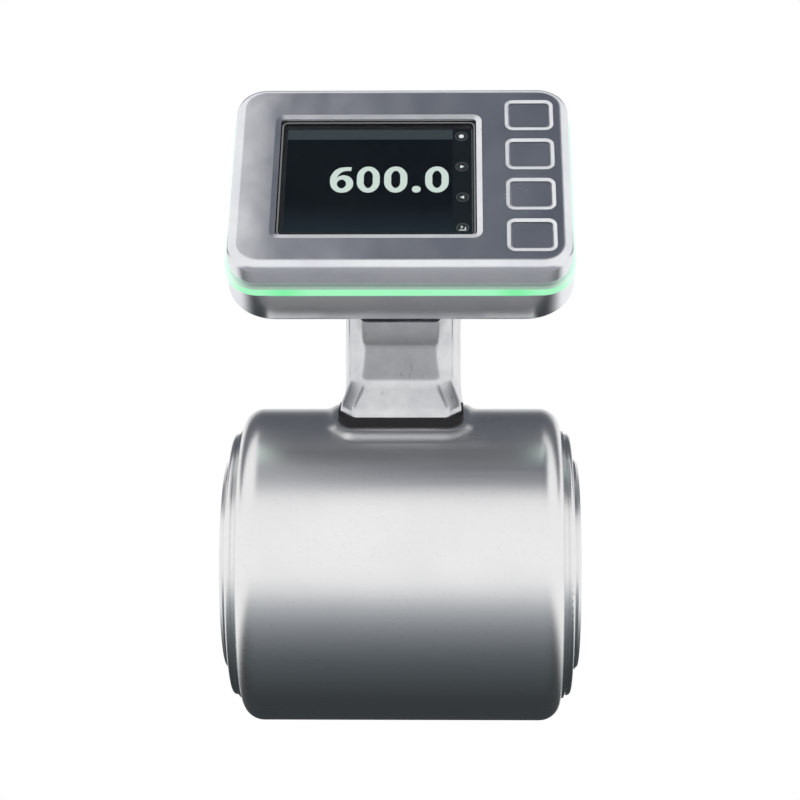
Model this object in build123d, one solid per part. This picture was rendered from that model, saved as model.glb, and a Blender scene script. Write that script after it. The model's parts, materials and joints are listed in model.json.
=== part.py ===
from build123d import *
import math
import os

os.makedirs("parts", exist_ok=True)

# Electromagnetic flow meter, in millimetres.
# The origin is the middle of the flow bore, +X runs along the pipe, +Z points up to the display head,
# and the display faces -Y, tilted upwards.

# Flow bore and measuring tube
boreDiameter = 50.0
linerWall = 1.5
tubeWall = 1.5
tubeFit = 0.05

# Body casing
casingDiameter = 97.0
casingLength = 98.0
casingWall = 2.0
casingEndWall = 2.5
casingEdgeRadius = 6.4

# Turned ends of the measuring tube, as reached past the casing's end face
collarInset = 6.9
collarReach = 1.0
weldGrooveWidth = 0.6
weldGrooveDrop = 1.7
shoulderInset = 7.8
shoulderReach = 3.2
shoulderEdgeRadius = 1.2
spigotDiameter = 66.0
spigotReach = 5.4
spigotChamfer = 1.2
spigotGrooveWidth = 0.5
spigotGrooveDepth = 0.4
endFlangeDepth = 8.0
collarFit = 0.05

# Clamping holes in the shoulder face and the sealing ring in the end face
clampHoleDiameter = 4.2
clampHoleDepth = 8.0
clampHoleCount = 4
sealInnerDiameter = 57.6
sealWidth = 2.0
sealDepth = 1.5
sealFit = 0.1

# Electrodes
electrodeDiameter = 4.0
electrodeTipReach = 11.5
probeDiameter = 6.0
sensorOffset = 24.0
insulatorDiameter = 10.0
insulatorThickness = 3.0
insulatorWall = 1.0
nutAcrossFlats = 7.0
nutThickness = 3.0
stackFit = 0.05

# Magnetic circuit
poleShoeThickness = 2.0
poleShoeLength = 32.0
poleShoeHalfAngle = 38.0
poleShoeFit = 0.3
coreDiameter = 11.0
coilDiameter = 31.0
coilHeight = 7.8
coilFit = 0.3
yokeGap = 1.3
yokeThickness = 2.2
yokeWidth = 18.0
coreFit = 0.1
terminalWidth = 8.0
terminalDepth = 12.0
terminalRise = 1.0

# Saddle seat on the casing, saddle gasket and the screws through them
seatHeight = 1.5
seatWidth = 46.0
seatDepth = 59.0
seatCornerRadius = 8.0
seatEdgeRadius = 1.3
saddleDrop = 20.0
saddleFit = 0.05
gasketRise = 2.3
gasketCrown = 0.6
gasketWidth = 38.2
gasketDepth = 50.4
gasketCornerRadius = 4.6
cablePassWidth = 10.0
cablePassDepth = 15.0
neckScrewDiameter = 4.0
neckScrewHeadDiameter = 6.6
neckScrewHeadHeight = 2.6
neckScrewLength = 11.4
neckScrewSpacingX = 14.0
neckScrewSpacingY = 26.0
screwHoleFit = 0.1

# Neck
neckBaseWidth = 37.8
neckBaseBackWidth = 38.8
neckWaistWidth = 31.4
neckWaistBackWidth = 37.4
neckDepth = 49.0
neckWaistForward = 3.6
neckLeanRise = 27.0
neckLeanPower = 1.4
neckCornerRadius = 4.6
neckFlareDrop = 4.0
neckFlareHeight = 11.5
neckBackRise = 24.0
neckBackLean = 18.6
neckBackRadius = 10.0
neckWallSide = 5.2
neckWallFront = 3.7
neckWallBack = 5.0
neckFloorRise = 6.0
neckShaftLength = 80.0

# Display head: places in its own plane are given from the middle of its front face
headTilt = 51.6
headForward = 5.0
headRise = 70.4
coverMarginX = 4.8
coverMarginY = 5.2
coverCornerRadius = 9.5
coverEdgeRadius = 3.0
coverWall = 1.2
coverDepth = 8.4
coverSealThickness = 0.5
ringProud = 1.1
ringThickness = 3.5
ringWidth = 4.2
ringEdgeRadius = 0.5
housingInset = 0.1
housingCornerRadius = 15.0
housingWall = 2.0
headDepth = 24.0
housingEdgeRadius = 1.5
headGasketThickness = 0.8
sealInset = 0.6
sealBand = 1.8

# Head screws and their posts
headScrewSpacingX = 44.2
headScrewInset = 4.3
headScrewDiameter = 3.0
headScrewDomeDiameter = 5.8
headScrewDomeHeight = 2.6
headScrewTipDepth = 5.0
postDiameter = 6.0
bossDiameter = 7.0
postFit = 0.1

# Screws that hold the head to the neck
mountScrewDiameter = 3.0
mountScrewHeadDiameter = 5.4
mountScrewHeadHeight = 2.2
mountScrewLength = 9.0
mountScrewSpacingX = 26.4
mountScrewInset = 10.7
mountScrewSpacingY = 33.0
headGasketMargin = 7.5
cablePassMargin = 4.5
headPassWidth = 15.0

# Window
windowX = -7.2
windowY = -0.6
windowWidth = 60.6
windowHeight = 48.4
windowCornerRadius = 1.2
windowBevel = 1.7
bevelDepth = 0.35
windowSealThickness = 0.3
windowSealLap = 1.8
glassThickness = 1.1
glassLap = 2.6

# Display
displayShiftX = 0.7
displayShiftY = 0.1
displayActiveWidth = 57.6
displayActiveHeight = 43.2
displayModuleWidth = 68.4
displayModuleHeight = 50.2
displayModuleShift = 1.1
displayThickness = 2.5
displayInset = 0.2
displayFit = 0.05
bracketThickness = 1.2
bracketRim = 1.2
bracketMargin = 6.0
bracketDrop = 0.4
bracketFootDiameter = 4.0

# Keys
keyColumnInset = 12.3
keyColumnY = -0.15
keyPitch = 16.75
keyCount = 4
keyRecessWidth = 15.0
keyRecessHeight = 13.1
keyRecessRadius = 2.6
keyBevel = 1.1
keyGap = 0.2
keyFlangeMargin = 0.8
keyFlangeThickness = 0.8
keyFlangeClearance = 0.3
keyStemDiameter = 4.0
keyStemDepth = 4.0
keyTravel = 0.4
keyEdge = 0.15
membraneClearance = 0.2
membraneThickness = 0.8
membraneMarginX = 1.0
membraneMarginY = 0.3
membraneWall = 1.0
switchSize = 6.0
switchHeight = 1.6
plungerDiameter = 3.0
plungerHeight = 0.4

# Circuit board and what it carries
boardWidth = 94.0
boardMarginY = 3.0
boardCornerRadius = 4.0
boardDepth = 7.5
boardThickness = 1.6
boardScrewDiameter = 3.0
boardScrewHeadDiameter = 5.0
boardScrewHeadHeight = 1.4
boardScrewLength = 7.0
boardScrewLeft = 5.0
boardScrewRight = 19.5
boardScrewGap = 0.65
standoffDiameter = 5.4
chipSize = 14.0
chipHeight = 1.6
chipX = -24.0
chipY = 6.0
powerModuleWidth = 20.0
powerModuleDepth = 14.0
powerModuleHeight = 8.0
powerModuleX = 28.0
powerModuleY = 10.0
socketWidth = 8.0
socketDepth = 6.0
socketHeight = 5.0
signalSocketY = -12.0
supplySocketY = 4.0
ledWidth = 3.0
ledDepth = 1.6
ledHeight = 1.0
ledInsetX = 2.6
ledInsetY = 2.1
ledSpacingX = 34.0
ledSpacingY = 24.0

# Cables inside the neck
signalCableDiameter = 4.0
signalCableRadius = 19.0
supplyCableDiameter = 3.0
supplyCableY = 7.5
supplyLowerRadius = 5.0
supplyUpperRadius = 14.0

# Round plug connector on the back of the neck
connectorRise = 13.0
connectorThreadDiameter = 12.0
connectorReach = 15.0
connectorHexAcrossFlats = 16.0
connectorHexThickness = 4.0
connectorSealThickness = 0.4
connectorSealDiameter = 15.0
connectorSpigotDiameter = 11.0
connectorInsertDiameter = 8.6
connectorNutThickness = 2.5
connectorNutAcrossFlats = 14.0
connectorInnerEnd = 4.0
contactDiameter = 1.0
contactCircleDiameter = 5.0
contactCount = 5
contactRecess = 1.5

# Worked out from the sizes above
boreRadius = boreDiameter / 2
liningRadius = boreRadius + linerWall
tubeRadius = liningRadius + tubeWall
casingRadius = casingDiameter / 2
casingEnd = casingLength / 2
spigotFace = casingEnd + spigotReach
shoulderFace = casingEnd + shoulderReach
collarDiameter = casingDiameter - 2 * collarInset
weldGrooveDiameter = collarDiameter - 2 * weldGrooveDrop
shoulderDiameter = casingDiameter - 2 * shoulderInset
clampCircleDiameter = (spigotDiameter + shoulderDiameter) / 2
yokeRadius = casingRadius - casingWall - yokeGap
yokeInnerRadius = yokeRadius - yokeThickness
seatRadius = casingRadius + seatHeight
saddleBottom = seatRadius - saddleDrop
saddleTop = seatRadius + saddleDrop
terminalTop = seatRadius + terminalRise
gasketFrontZ = math.sqrt(seatRadius**2 - (gasketDepth / 2) ** 2) + gasketRise
gasketCrownZ = seatRadius + gasketCrown
gasketBow = gasketCrownZ - gasketFrontZ
gasketTopRadius = ((gasketDepth / 2) ** 2 + gasketBow**2) / (2 * gasketBow)
gasketTopCentre = gasketCrownZ - gasketTopRadius
neckFront = -neckDepth / 2
neckBack = neckDepth / 2
neckFlareBottom = seatRadius - neckFlareDrop
neckFlareTop = neckFlareBottom + neckFlareHeight
neckLeanTop = seatRadius + neckLeanRise
neckFloorTop = seatRadius + neckFloorRise
neckBackTop = seatRadius + neckBackRise
connectorZ = seatRadius + connectorRise
headCentreY = neckFront + headForward
headCentreZ = seatRadius + headRise
boardScrewSpacingY = displayModuleHeight + boardScrewHeadDiameter + 2 * (
    displayFit + bracketRim + boardScrewGap
)
boardHeight = boardScrewSpacingY + 2 * boardMarginY
coverWidth = boardWidth + 2 * coverMarginX
coverHeight = boardHeight + 2 * coverMarginY
headScrewSpacingY = coverHeight - 2 * headScrewInset
mountScrewLow = mountScrewInset - coverHeight / 2
mountScrewHigh = mountScrewLow + mountScrewSpacingY
displayX = windowX + displayShiftX
displayY = windowY + displayShiftY
keyColumnX = coverWidth / 2 - keyColumnInset
membraneWidth = keyRecessWidth + 2 * membraneMarginX
membraneHeight = (keyCount - 1) * keyPitch + keyRecessHeight + 2 * membraneMarginY
coverSealDepth = coverDepth + coverSealThickness
housingFront = coverSealDepth + ringThickness
housingFloor = headDepth - housingWall
neckTopDepth = headDepth + headGasketThickness
glassFront = coverWall + windowSealThickness
displayFront = glassFront + glassThickness + displayFit
boardBack = boardDepth + boardThickness
keyRows = [keyColumnY + ((keyCount - 1) / 2 - row) * keyPitch for row in range(keyCount)]
headScrewPlaces = [
    (x, y)
    for x in (-headScrewSpacingX / 2, headScrewSpacingX / 2)
    for y in (-headScrewSpacingY / 2, headScrewSpacingY / 2)
]
mountScrewPlaces = [
    (x, y) for x in (-mountScrewSpacingX / 2, mountScrewSpacingX / 2) for y in (mountScrewLow, mountScrewHigh)
]
boardScrewPlaces = [
    (x, y)
    for x in (boardScrewLeft - boardWidth / 2, boardWidth / 2 - boardScrewRight)
    for y in (-boardScrewSpacingY / 2, boardScrewSpacingY / 2)
]
neckScrewPlaces = [
    (x, y)
    for x in (-neckScrewSpacingX / 2, neckScrewSpacingX / 2)
    for y in (-neckScrewSpacingY / 2, neckScrewSpacingY / 2)
]

tilt = math.radians(headTilt)
headPlane = Plane(
    origin=(0, headCentreY, headCentreZ), x_dir=(1, 0, 0), z_dir=(0, -math.sin(tilt), math.cos(tilt))
)


def write(name, *solids):
    """Writes one node, made of one or more separate solids."""
    shape = solids[0] if len(solids) == 1 else Compound(children=list(solids))
    shape.label = name
    export_step(shape, os.path.join("parts", name + ".step"))


def pipeRod(diameter, start, end):
    """A round rod along X from start to end."""
    return Pos((start + end) / 2, 0, 0) * Rot(0, 90, 0) * Cylinder(diameter / 2, end - start)


def pipeRing(outerDiameter, innerDiameter, start, end):
    """A round ring along X from start to end."""
    return pipeRod(outerDiameter, start, end) - pipeRod(innerDiameter, start - 1, end + 1)


def upright(diameter, bottom, top, x=0.0, y=0.0):
    """A round rod along Z."""
    return Pos(x, y, (bottom + top) / 2) * Cylinder(diameter / 2, top - bottom)


def plate(width, height, radius, front, back, x=0.0, y=0.0):
    """A rounded plate in the head, from one depth below the front face to another."""
    outline = RectangleRounded(width, height, radius)
    return Pos(x, y, -back) * extrude(outline, amount=back - front)


def headRod(diameter, front, back, x=0.0, y=0.0):
    """A round rod square to the head's front face."""
    return Pos(x, y, -(front + back) / 2) * Cylinder(diameter / 2, back - front)


def inHead(shape):
    """Moves a shape from the head's own plane to its place."""
    return headPlane.location * shape


def largest(shape):
    """The shape's biggest solid."""
    return max(shape.solids(), key=lambda solid: solid.volume)


def hexBar(acrossFlats, bottom, top):
    """A hexagonal bar along Z."""
    outline = RegularPolygon(acrossFlats / 2, 6, major_radius=False)
    return Pos(0, 0, bottom) * extrude(outline, amount=top - bottom)


# Places of the electrodes: turned from pointing up (+Z) about the pipe, and moved along it
frontPlace = Rot(90, 0, 0)
rearPlace = Rot(-90, 0, 0)
levelPlace = Pos(sensorOffset, 0, 0)
probePlace = Pos(-sensorOffset, 0, 0) * Rot(-90, 0, 0)
sensorPlaces = [frontPlace, rearPlace, levelPlace, probePlace]


def makeMeasuringTube():
    """The tube with its turned ends: collar, weld groove, shoulder ring and spigot ring."""
    flangeStart = casingEnd - endFlangeDepth
    collarEnd = casingEnd + collarReach
    grooveEnd = collarEnd + weldGrooveWidth
    collar = pipeRod(collarDiameter, flangeStart, collarEnd)
    groove = pipeRod(weldGrooveDiameter, flangeStart, grooveEnd)
    shoulder = pipeRod(shoulderDiameter, grooveEnd, shoulderFace)
    shoulder = fillet(shoulder.edges().sort_by(Axis.X)[-1], shoulderEdgeRadius)
    spigot = pipeRod(spigotDiameter, shoulderFace - 1, spigotFace)
    spigot = chamfer(spigot.edges().sort_by(Axis.X)[-1], spigotChamfer)
    spigotGrooveX = (shoulderFace + spigotFace) / 2
    spigotGroove = pipeRing(
        spigotDiameter + 2,
        spigotDiameter - 2 * spigotGrooveDepth,
        spigotGrooveX - spigotGrooveWidth / 2,
        spigotGrooveX + spigotGrooveWidth / 2,
    )
    sealGroove = pipeRing(
        sealInnerDiameter + 2 * sealWidth, sealInnerDiameter, spigotFace - sealDepth, spigotFace + 1
    )
    end = collar + groove + shoulder + spigot - spigotGroove - sealGroove
    for index in range(clampHoleCount):
        turn = (index + 0.5) * 360 / clampHoleCount
        hole = pipeRod(clampHoleDiameter, shoulderFace - clampHoleDepth, shoulderFace + 1)
        end -= Rot(turn, 0, 0) * Pos(0, 0, clampCircleDiameter / 2) * hole
    tube = pipeRod(tubeRadius * 2, -spigotFace, spigotFace) + end + mirror(end, about=Plane.YZ)
    tube -= pipeRod(liningRadius * 2, -spigotFace - 1, spigotFace + 1)
    sleeveDiameter = electrodeDiameter + 2 * insulatorWall + 2 * stackFit
    for place in sensorPlaces:
        tube -= place * upright(sleeveDiameter, boreRadius - 2, tubeRadius + 3)
    return largest(tube)


def makeLiner():
    """The lining of the bore, pierced by the electrodes."""
    lining = pipeRing((liningRadius - tubeFit) * 2, boreDiameter, -spigotFace, spigotFace)
    for place in sensorPlaces:
        lining -= place * upright(electrodeDiameter + 2 * stackFit, boreRadius - 2, tubeRadius)
    return largest(lining)


def makeElectrode():
    """A pin along +Z whose tip is flush with the bore."""
    pin = upright(electrodeDiameter, boreRadius - 2, boreRadius + electrodeTipReach)
    return largest(pin - pipeRod(boreDiameter, -sensorOffset, sensorOffset))


def makeProbe():
    """A temperature probe: the same pin with a thicker head behind its nut."""
    headStart = tubeRadius + insulatorThickness + nutThickness + 3 * stackFit
    head = upright(probeDiameter, headStart, boreRadius + electrodeTipReach + 4)
    return largest(makeElectrode() + head)


def makeInsulator():
    """A flanged bush between a pin and the tube wall."""
    bush = upright(insulatorDiameter, tubeRadius + stackFit, tubeRadius + insulatorThickness)
    bush += upright(electrodeDiameter + 2 * insulatorWall, liningRadius + stackFit, tubeRadius + 1)
    return largest(bush - upright(electrodeDiameter + 2 * stackFit, 0, tubeRadius + 10))


def makeElectrodeNut():
    """A hexagon nut on a pin."""
    bottom = tubeRadius + insulatorThickness + stackFit
    nut = hexBar(nutAcrossFlats, bottom, bottom + nutThickness)
    return largest(nut - upright(electrodeDiameter + 2 * stackFit, 0, bottom + 10))


def makePole():
    """A curved pole shoe over the tube with its round core."""
    inner = tubeRadius + poleShoeFit
    outer = inner + poleShoeThickness
    shoe = pipeRing(outer * 2, inner * 2, -poleShoeLength / 2, poleShoeLength / 2)
    reach = outer * math.tan(math.radians(poleShoeHalfAngle))
    wedge = Polyline((0, 0), (-reach, outer), (reach, outer), close=True)
    wedge = Rot(0, 0, 90) * Rot(90, 0, 0) * extrude(make_face(wedge), amount=poleShoeLength, both=True)
    core = upright(coreDiameter, (inner + outer) / 2, yokeRadius)
    core &= pipeRod(2 * (yokeInnerRadius - coreFit), -poleShoeLength, poleShoeLength)
    return largest((shoe & wedge) + core)


def makeCoil():
    """A flat winding round the core."""
    bottom = tubeRadius + poleShoeFit + poleShoeThickness + coilFit
    coil = upright(coilDiameter, bottom, bottom + coilHeight)
    coil = fillet(coil.edges().filter_by(GeomType.CIRCLE), 1.0)
    return largest(coil - upright(coreDiameter + 2 * coilFit, 0, bottom + coilHeight + 5))


def makeYoke():
    """The iron band round the coils."""
    return largest(pipeRing(2 * yokeRadius, 2 * yokeInnerRadius, -yokeWidth / 2, yokeWidth / 2))


def makeTerminalBlock():
    """The terminal block that stands on the yoke, under the neck."""
    bottom = yokeInnerRadius
    block = Pos(0, 0, (bottom + terminalTop) / 2) * Box(terminalWidth, terminalDepth, terminalTop - bottom)
    return largest(block - pipeRod(2 * (yokeRadius + stackFit), -yokeWidth, yokeWidth))


def makeSeal(side):
    """A sealing ring in the end face, on the side -1 or 1."""
    inner = sealInnerDiameter + 2 * sealFit
    outer = sealInnerDiameter + 2 * (sealWidth - sealFit)
    ring = pipeRing(outer, inner, spigotFace - sealDepth, spigotFace)
    return largest(ring if side > 0 else mirror(ring, about=Plane.YZ))


def cutSaddleHoles(shape, bottom, top, diameter):
    """Cuts the cable pass and the four screw holes through a part of the saddle joint."""
    passage = extrude(RectangleRounded(cablePassWidth, cablePassDepth, 2.0), amount=top - bottom)
    shape -= Pos(0, 0, bottom) * passage
    for x, y in neckScrewPlaces:
        shape -= upright(diameter, bottom, top, x, y)
    return shape


def makeCasing():
    """The casing shell with rounded ends and the raised saddle seat."""
    shell = pipeRod(casingDiameter, -casingEnd, casingEnd)
    shell = fillet(shell.edges().filter_by(GeomType.CIRCLE), casingEdgeRadius)
    hollow = pipeRod(
        casingDiameter - 2 * casingWall, -casingEnd + casingEndWall, casingEnd - casingEndWall
    )
    hollow = fillet(hollow.edges().filter_by(GeomType.CIRCLE), casingEdgeRadius - casingWall)
    seat = Pos(0, 0, saddleBottom) * extrude(
        RectangleRounded(seatWidth, seatDepth, seatCornerRadius), amount=2 * saddleDrop
    )
    seat &= pipeRod(2 * seatRadius, -casingEnd, casingEnd)
    rim = [
        edge
        for edge in seat.edges()
        if abs(math.hypot((edge @ 0.5).Y, (edge @ 0.5).Z) - seatRadius) < seatHeight / 10
    ]
    seat = fillet(rim, seatEdgeRadius)
    shell = shell + seat - hollow
    shell -= pipeRod(collarDiameter + 2 * collarFit, -casingEnd - 1, casingEnd + 1)
    hole = neckScrewDiameter + 2 * screwHoleFit
    return largest(cutSaddleHoles(shell, saddleBottom, saddleTop, hole))


def gasketTop(fit):
    """The flatter curve that the gasket's top and the neck's foot share."""
    return Pos(0, 0, gasketTopCentre) * pipeRod(2 * (gasketTopRadius - fit), -casingEnd, casingEnd)


def makeNeckGasket():
    """The black gasket between the saddle seat and the neck, thin at its crown and thick at its ends."""
    sheet = Pos(0, 0, saddleBottom) * extrude(
        RectangleRounded(gasketWidth, gasketDepth, gasketCornerRadius), amount=2 * saddleDrop
    )
    sheet &= gasketTop(saddleFit)
    sheet = largest(sheet - pipeRod(2 * (seatRadius + saddleFit), -casingEnd, casingEnd))
    hole = neckScrewDiameter + 2 * screwHoleFit
    return largest(cutSaddleHoles(sheet, saddleBottom, saddleTop, hole))


def between(value, start, end):
    """How far a value lies from start to end, from 0 to 1."""
    return min(1.0, max(0.0, (value - start) / (end - start)))


def neckSection(z):
    """The neck's outline at a height: a rounded trapezium, wider at its back, flared at its foot."""
    low = between(z, neckFlareTop, neckFlareBottom)
    share = low * low * (3 - 2 * low)
    lean = between(z, neckFlareTop, neckLeanTop) ** neckLeanPower
    front = (neckWaistWidth + (neckBaseWidth - neckWaistWidth) * share) / 2
    back = (neckWaistBackWidth + (neckBaseBackWidth - neckWaistBackWidth) * share) / 2
    forward = neckFront + neckWaistForward * (1 - share) * (1 - lean)
    corners = Polyline(
        (-front, forward), (front, forward), (back, neckBack), (-back, neckBack), close=True
    )
    outline = make_face(corners)
    return Pos(0, 0, z) * fillet(outline.vertices(), neckCornerRadius)


def rearPlaneZ(y, depth):
    """The height at which a plane at a depth in the head passes over a place along Y."""
    atY = headCentreY + depth * math.sin(tilt)
    atZ = headCentreZ - depth * math.cos(tilt)
    return atZ + (y - atY) * math.tan(tilt)


def neckSide(frontInset, inset, bottom, topDepth, halfWidth):
    """The neck's side profile, drawn in from its front and its back, as a block across X."""
    lean = math.tan(math.radians(neckBackLean))
    front = neckFront + frontInset
    back = neckBack - inset
    # the leaning back meets the head's rear plane where the two lines cross
    bend = neckBackTop - inset * math.tan(math.radians(neckBackLean / 2))
    crossY = (rearPlaneZ(0, topDepth) - bend - back / lean) / (-1 / lean - math.tan(tilt))
    points = [
        (front, bottom),
        (back, bottom),
        (back, bend),
        (crossY, rearPlaneZ(crossY, topDepth)),
        (front, rearPlaneZ(front, topDepth)),
    ]
    outline = make_face(Polyline(*points, close=True))
    corner = outline.vertices().sort_by_distance((back, bend, 0))[0]
    outline = fillet(corner, neckBackRadius - inset)
    return extrude(Plane.YZ.offset(-halfWidth) * outline, amount=2 * halfWidth)


def makeNeck():
    """The cast neck: flared foot, waisted front, back leaning to the head, hollow, cut off at the head."""
    flareStep = (neckFlareTop - neckFlareBottom) / 4
    leanStep = (neckLeanTop - neckFlareTop) / 3
    levels = [neckFlareBottom + flareStep * step for step in range(4)]
    levels += [neckFlareTop + leanStep * step for step in range(4)]
    waist = loft([neckSection(z) for z in levels])
    foot = extrude(neckSection(neckFlareBottom), amount=neckFlareBottom - saddleBottom, dir=(0, 0, -1))
    shaft = extrude(neckSection(neckLeanTop), amount=neckShaftLength, dir=(0, 0, 1))
    neck = foot + waist + shaft
    neck &= neckSide(-1, 0, saddleBottom - 1, neckTopDepth, neckBaseBackWidth)
    neck -= gasketTop(0)
    inset = neckWallFront + neckWaistForward
    halfWidth = neckWaistWidth / 2 - neckWallSide
    neck -= neckSide(inset, neckWallBack, neckFloorTop, neckTopDepth - 3, halfWidth)
    neck = cutSaddleHoles(neck, saddleBottom, neckFloorTop + 1, neckScrewDiameter + 2 * screwHoleFit)
    screwHole = mountScrewDiameter + 2 * screwHoleFit
    for x, y in mountScrewPlaces:
        neck -= inHead(headRod(screwHole, neckTopDepth - 1, neckTopDepth + mountScrewLength, x, y))
    opening = connectorSpigotDiameter + 2 * screwHoleFit
    neck -= Pos(0, neckBack - 10, connectorZ) * Rot(90, 0, 0) * Cylinder(opening / 2, 24)
    return largest(neck)


def makeNeckScrews():
    """The four screws that clamp the neck through its gasket to the seat."""
    screws = []
    for x, y in neckScrewPlaces:
        shank = upright(neckScrewDiameter, neckFloorTop - neckScrewLength, neckFloorTop + 1, x, y)
        head = upright(neckScrewHeadDiameter, neckFloorTop, neckFloorTop + neckScrewHeadHeight, x, y)
        socket = Pos(x, y, 0) * hexBar(2.5, neckFloorTop + 1.2, neckFloorTop + neckScrewHeadHeight + 1)
        screws.append(largest(shank + head - socket))
    return screws


def makeFrontCover():
    """The drawn stainless cover with its window and key recesses and four screw posts."""
    cover = plate(coverWidth, coverHeight, coverCornerRadius, 0, coverDepth)
    cover = fillet(cover.faces().sort_by(Axis.Z)[-1].edges(), coverEdgeRadius)
    inside = plate(
        coverWidth - 2 * coverWall,
        coverHeight - 2 * coverWall,
        coverCornerRadius - coverWall,
        coverWall,
        coverDepth + 1,
    )
    inside = fillet(inside.faces().sort_by(Axis.Z)[-1].edges(), coverEdgeRadius - coverWall)
    cover -= inside
    bound = plate(coverWidth - 1, coverHeight - 1, coverCornerRadius - 0.5, 0.5, housingFront)
    for x, y in headScrewPlaces:
        cover += headRod(postDiameter, coverWall - 0.2, housingFront - 0.1, x, y) & bound
    for x, y in headScrewPlaces:
        cover -= headRod(headScrewDiameter + 2 * screwHoleFit, headScrewTipDepth - 0.5, housingFront + 1, x, y)
    cover -= bevelledHole(
        windowX, windowY, windowWidth, windowHeight, windowCornerRadius, windowBevel, coverWall
    )
    for row in keyRows:
        cover -= bevelledHole(
            keyColumnX,
            row,
            keyRecessWidth - 2 * keyBevel,
            keyRecessHeight - 2 * keyBevel,
            keyRecessRadius - keyBevel,
            keyBevel,
            coverWall,
        )
    return largest(cover)


def bevelledHole(x, y, width, height, radius, bevel, wall):
    """A rounded hole through the cover with a sloping rim at its face."""
    mouth = RectangleRounded(width + 2 * bevel, height + 2 * bevel, radius + bevel)
    throat = RectangleRounded(width, height, radius)
    rim = loft([Pos(x, y, 0) * mouth, Pos(x, y, -bevelDepth) * throat])
    return rim + plate(width, height, radius, bevelDepth, wall + 1, x, y)


def makeBand(width, height, radius, front, back, band):
    """A rounded frame between two depths."""
    outer = plate(width, height, radius, front, back)
    inner = plate(width - 2 * band, height - 2 * band, max(radius - band, 1.0), front - 1, back + 1)
    return outer - inner


def makeCoverSeal():
    """The dark seal in the joint between the cover and the light ring."""
    seal = makeBand(
        coverWidth - 2 * sealInset,
        coverHeight - 2 * sealInset,
        coverCornerRadius - sealInset,
        coverDepth,
        coverSealDepth,
        sealBand,
    )
    for x, y in headScrewPlaces:
        seal -= headRod(postDiameter + 2 * postFit, 0, headDepth, x, y)
    return largest(seal)


def makeLightRing():
    """The clear ring that lights the joint line all round."""
    width = coverWidth + 2 * ringProud
    height = coverHeight + 2 * ringProud
    ring = makeBand(width, height, coverCornerRadius + ringProud, coverSealDepth, housingFront, ringWidth)
    outline = [
        edge
        for face in (ring.faces().sort_by(Axis.Z)[0], ring.faces().sort_by(Axis.Z)[-1])
        for edge in face.outer_wire().edges()
    ]
    ring = fillet(outline, ringEdgeRadius)
    for x, y in headScrewPlaces:
        ring -= headRod(postDiameter + 2 * postFit, 0, headDepth, x, y)
    return largest(ring)


def makeRearHousing():
    """The rear shell with screw bosses, board standoffs and the cable pass to the neck."""
    width = coverWidth + 2 * ringProud - 2 * housingInset
    height = coverHeight + 2 * ringProud - 2 * housingInset
    housing = plate(width, height, housingCornerRadius, housingFront, headDepth)
    housing = fillet(housing.faces().sort_by(Axis.Z)[0].edges(), housingEdgeRadius)
    body = housing
    housing -= plate(
        width - 2 * housingWall,
        height - 2 * housingWall,
        housingCornerRadius - housingWall,
        housingFront - 1,
        housingFloor,
    )
    for x, y in headScrewPlaces:
        housing += headRod(bossDiameter, housingFront, headDepth - 1, x, y) & body
    for x, y in boardScrewPlaces:
        housing += headRod(standoffDiameter, boardBack, headDepth - 1, x, y)
    for x, y in headScrewPlaces:
        housing -= headRod(headScrewDiameter + 2 * screwHoleFit, 0, headDepth + 1, x, y)
    for x, y in boardScrewPlaces:
        housing -= headRod(
            boardScrewDiameter + 2 * screwHoleFit, 0, boardDepth + boardScrewLength + 1, x, y
        )
    for x, y in mountScrewPlaces:
        housing -= headRod(mountScrewDiameter + 2 * screwHoleFit, housingFloor - 1, headDepth + 1, x, y)
    return largest(housing - cablePass(headDepth + 1))


def cablePass(back):
    """The opening for the cables from the neck into the head."""
    low = signalSocketY - 2 * cablePassMargin
    high = supplySocketY + cablePassMargin
    return plate(headPassWidth, high - low, 3.0, housingFloor - 1, back, 0, (low + high) / 2)


def makeHeadGasket():
    """The gasket between the neck's sloping top and the head."""
    low = mountScrewLow - headGasketMargin
    high = mountScrewHigh + headGasketMargin
    gasket = plate(
        neckWaistWidth - 1.6, high - low, neckCornerRadius, headDepth, neckTopDepth, 0, (low + high) / 2
    )
    gasket -= cablePass(neckTopDepth + 1)
    for x, y in mountScrewPlaces:
        gasket -= headRod(mountScrewDiameter + 2 * screwHoleFit, headDepth - 1, neckTopDepth + 1, x, y)
    return largest(gasket)


def makeMountScrews():
    """The four screws from inside the rear housing into the neck."""
    screws = []
    for x, y in mountScrewPlaces:
        shank = headRod(
            mountScrewDiameter, housingFloor - 1, housingFloor + mountScrewLength, x, y
        )
        head = headRod(mountScrewHeadDiameter, housingFloor - mountScrewHeadHeight, housingFloor, x, y)
        screws.append(largest(shank + head))
    return screws


def makeHeadScrews():
    """The four dome screws that close the head from behind."""
    screws = []
    domeRadius = ((headScrewDomeDiameter / 2) ** 2 + headScrewDomeHeight**2) / (2 * headScrewDomeHeight)
    for x, y in headScrewPlaces:
        dome = Pos(x, y, -(headDepth + headScrewDomeHeight - domeRadius)) * Sphere(domeRadius)
        dome &= headRod(headScrewDomeDiameter, headDepth, headDepth + headScrewDomeHeight + 1, x, y)
        shank = headRod(headScrewDiameter, headScrewTipDepth, headDepth + 0.5, x, y)
        socket = Pos(x, y, 0) * hexBar(2.5, -(headDepth + headScrewDomeHeight + 1), -(headDepth + 1.0))
        screws.append(largest(dome + shank - socket))
    return screws


def makeWindowSeal():
    """The thin seal between the cover and the window glass."""
    seal = plate(
        windowWidth + 2 * windowSealLap,
        windowHeight + 2 * windowSealLap,
        windowCornerRadius + windowSealLap,
        coverWall,
        glassFront,
        windowX,
        windowY,
    )
    return largest(
        seal - plate(windowWidth, windowHeight, windowCornerRadius, 0, glassFront + 1, windowX, windowY)
    )


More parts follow.
